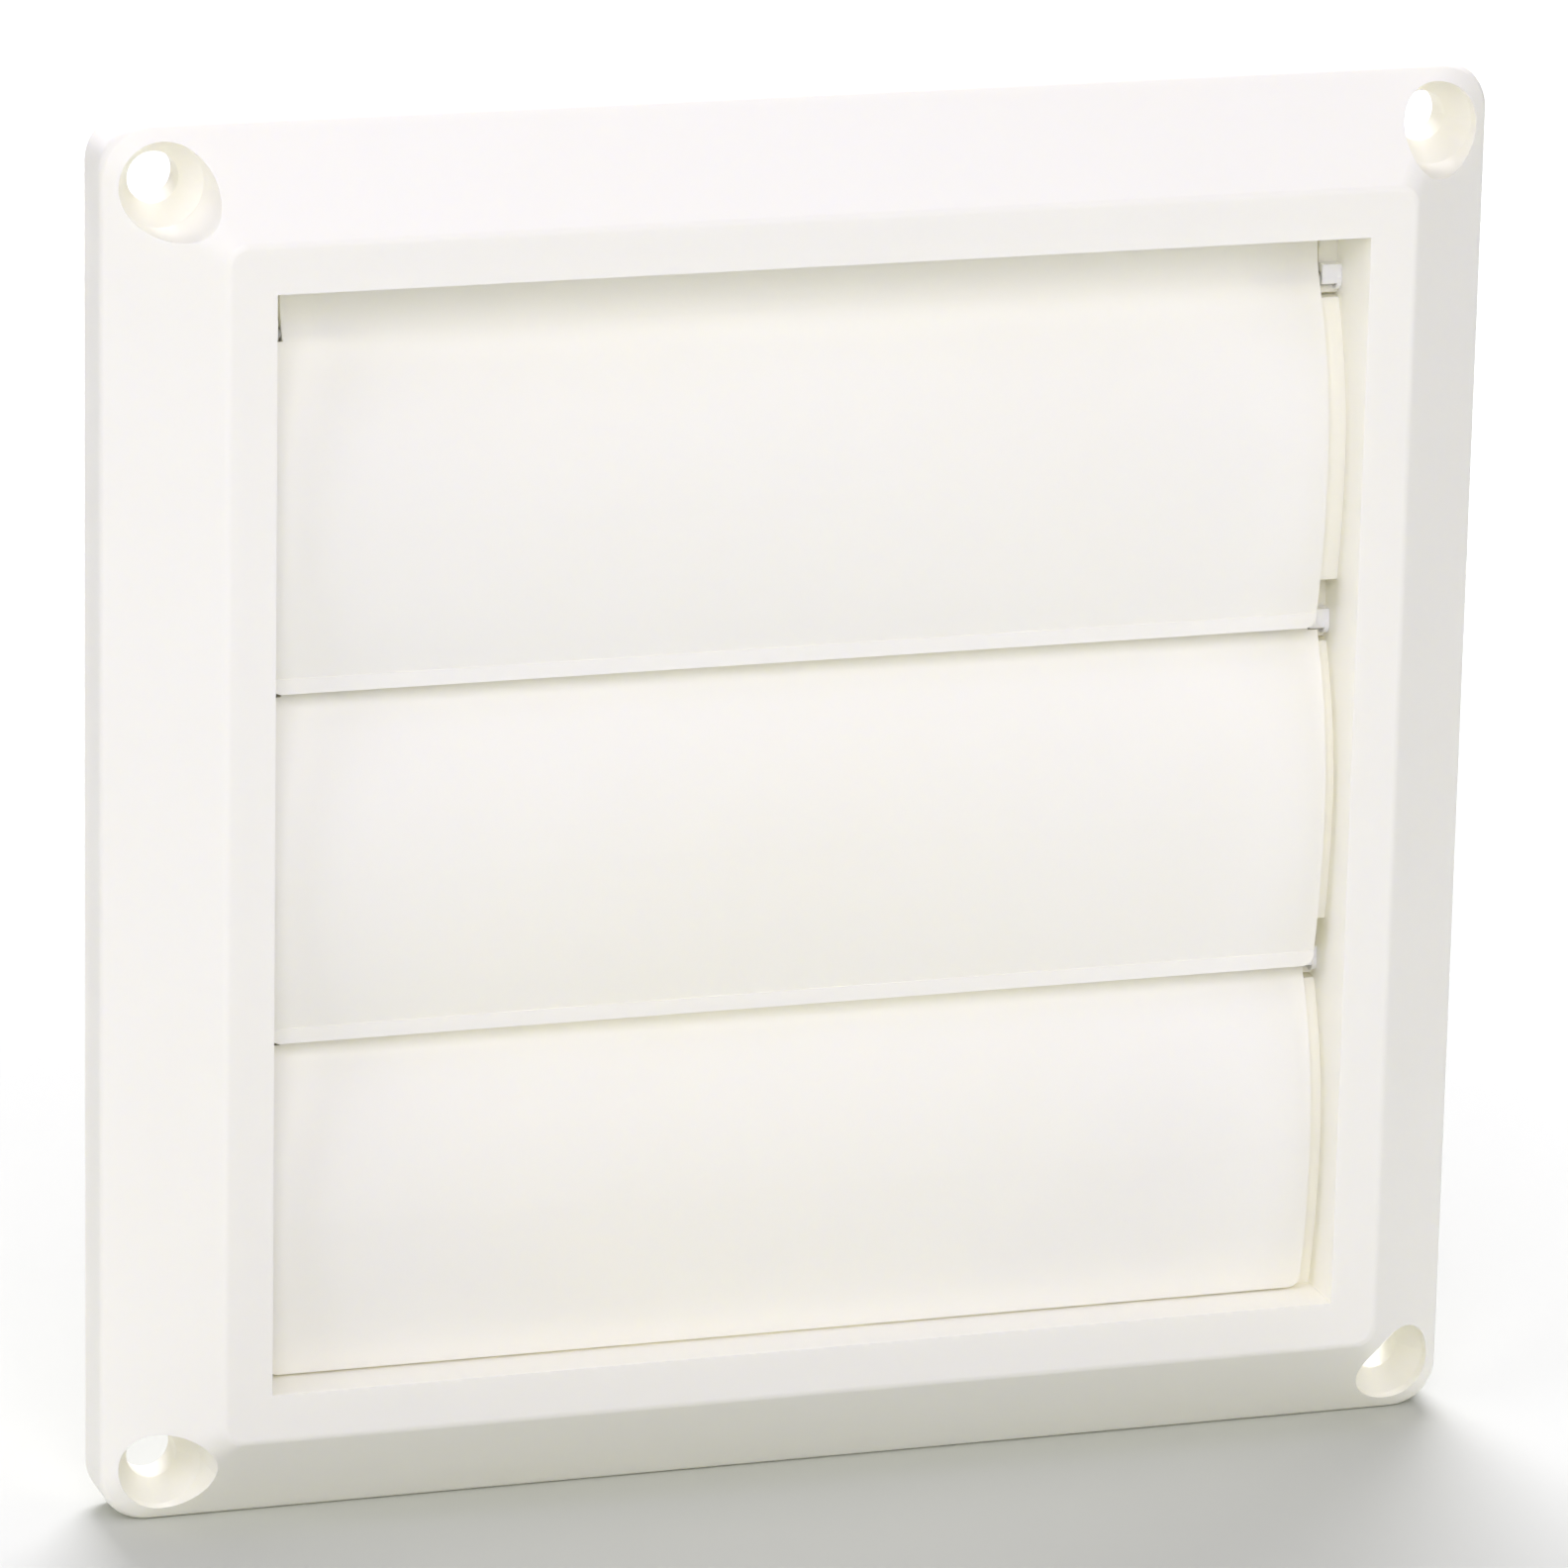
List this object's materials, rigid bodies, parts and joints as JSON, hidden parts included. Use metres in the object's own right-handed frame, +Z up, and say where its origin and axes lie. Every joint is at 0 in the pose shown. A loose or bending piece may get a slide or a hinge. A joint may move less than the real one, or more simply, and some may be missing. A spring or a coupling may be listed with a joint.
{
  "type": "louvred exhaust vent cover",
  "caption": "Square wall vent cover with a raised sloped border, countersunk corner screw pockets, curved gravity louvres on pivot pins and a round duct collar behind.",
  "frame": {"origin": "centre of the flange's back face, midway between the four screw holes, in the plane that lies against the wall", "axes": "+Z up, +X to the right seen from outside, +Y into the wall, so the louvred front looks along -Y"},
  "size_m": [0.1524, 0.0484, 0.1524],
  "materials": {
    "face_frame": "satin moulded ivory plastic",
    "louver_top": "satin moulded ivory plastic",
    "louver_middle": "satin moulded ivory plastic",
    "louver_bottom": "satin moulded ivory plastic",
    "pivot_bushings": "natural white nylon",
    "duct_collar": "satin moulded ivory plastic",
    "collar_screws": "zinc plated steel",
    "pivot_pin_top_left": "plain drawn stainless wire",
    "pivot_pin_top_right": "plain drawn stainless wire",
    "pivot_pin_middle_left": "plain drawn stainless wire",
    "pivot_pin_middle_right": "plain drawn stainless wire",
    "pivot_pin_bottom_left": "plain drawn stainless wire",
    "pivot_pin_bottom_right": "plain drawn stainless wire"
  },
  "bodies": {
    "frame": {"face_frame": "face_frame", "pivot_bushings": "pivot_bushings", "duct_collar": "duct_collar", "collar_screws": "collar_screws"},
    "louver_top_body": {"louver_top": "louver_top", "pivot_pin_top_left": "pivot_pin_top_left", "pivot_pin_top_right": "pivot_pin_top_right"},
    "louver_middle_body": {"louver_middle": "louver_middle", "pivot_pin_middle_left": "pivot_pin_middle_left", "pivot_pin_middle_right": "pivot_pin_middle_right"},
    "louver_bottom_body": {"louver_bottom": "louver_bottom", "pivot_pin_bottom_left": "pivot_pin_bottom_left", "pivot_pin_bottom_right": "pivot_pin_bottom_right"}
  },
  "joints": [
    {"name": "louver_top_hinge", "type": "hinge", "parent": "frame", "child": "louver_top_body", "pos_m": [0, -0.007, 0.0533], "axis": [-1, 0, 0], "range_deg": [0, 40]},
    {"name": "louver_middle_hinge", "type": "hinge", "parent": "frame", "child": "louver_middle_body", "pos_m": [0, -0.007, 0.0151], "axis": [-1, 0, 0], "range_deg": [0, 40]},
    {"name": "louver_bottom_hinge", "type": "hinge", "parent": "frame", "child": "louver_bottom_body", "pos_m": [0, -0.007, -0.0231], "axis": [-1, 0, 0], "range_deg": [0, 40]}
  ]
}
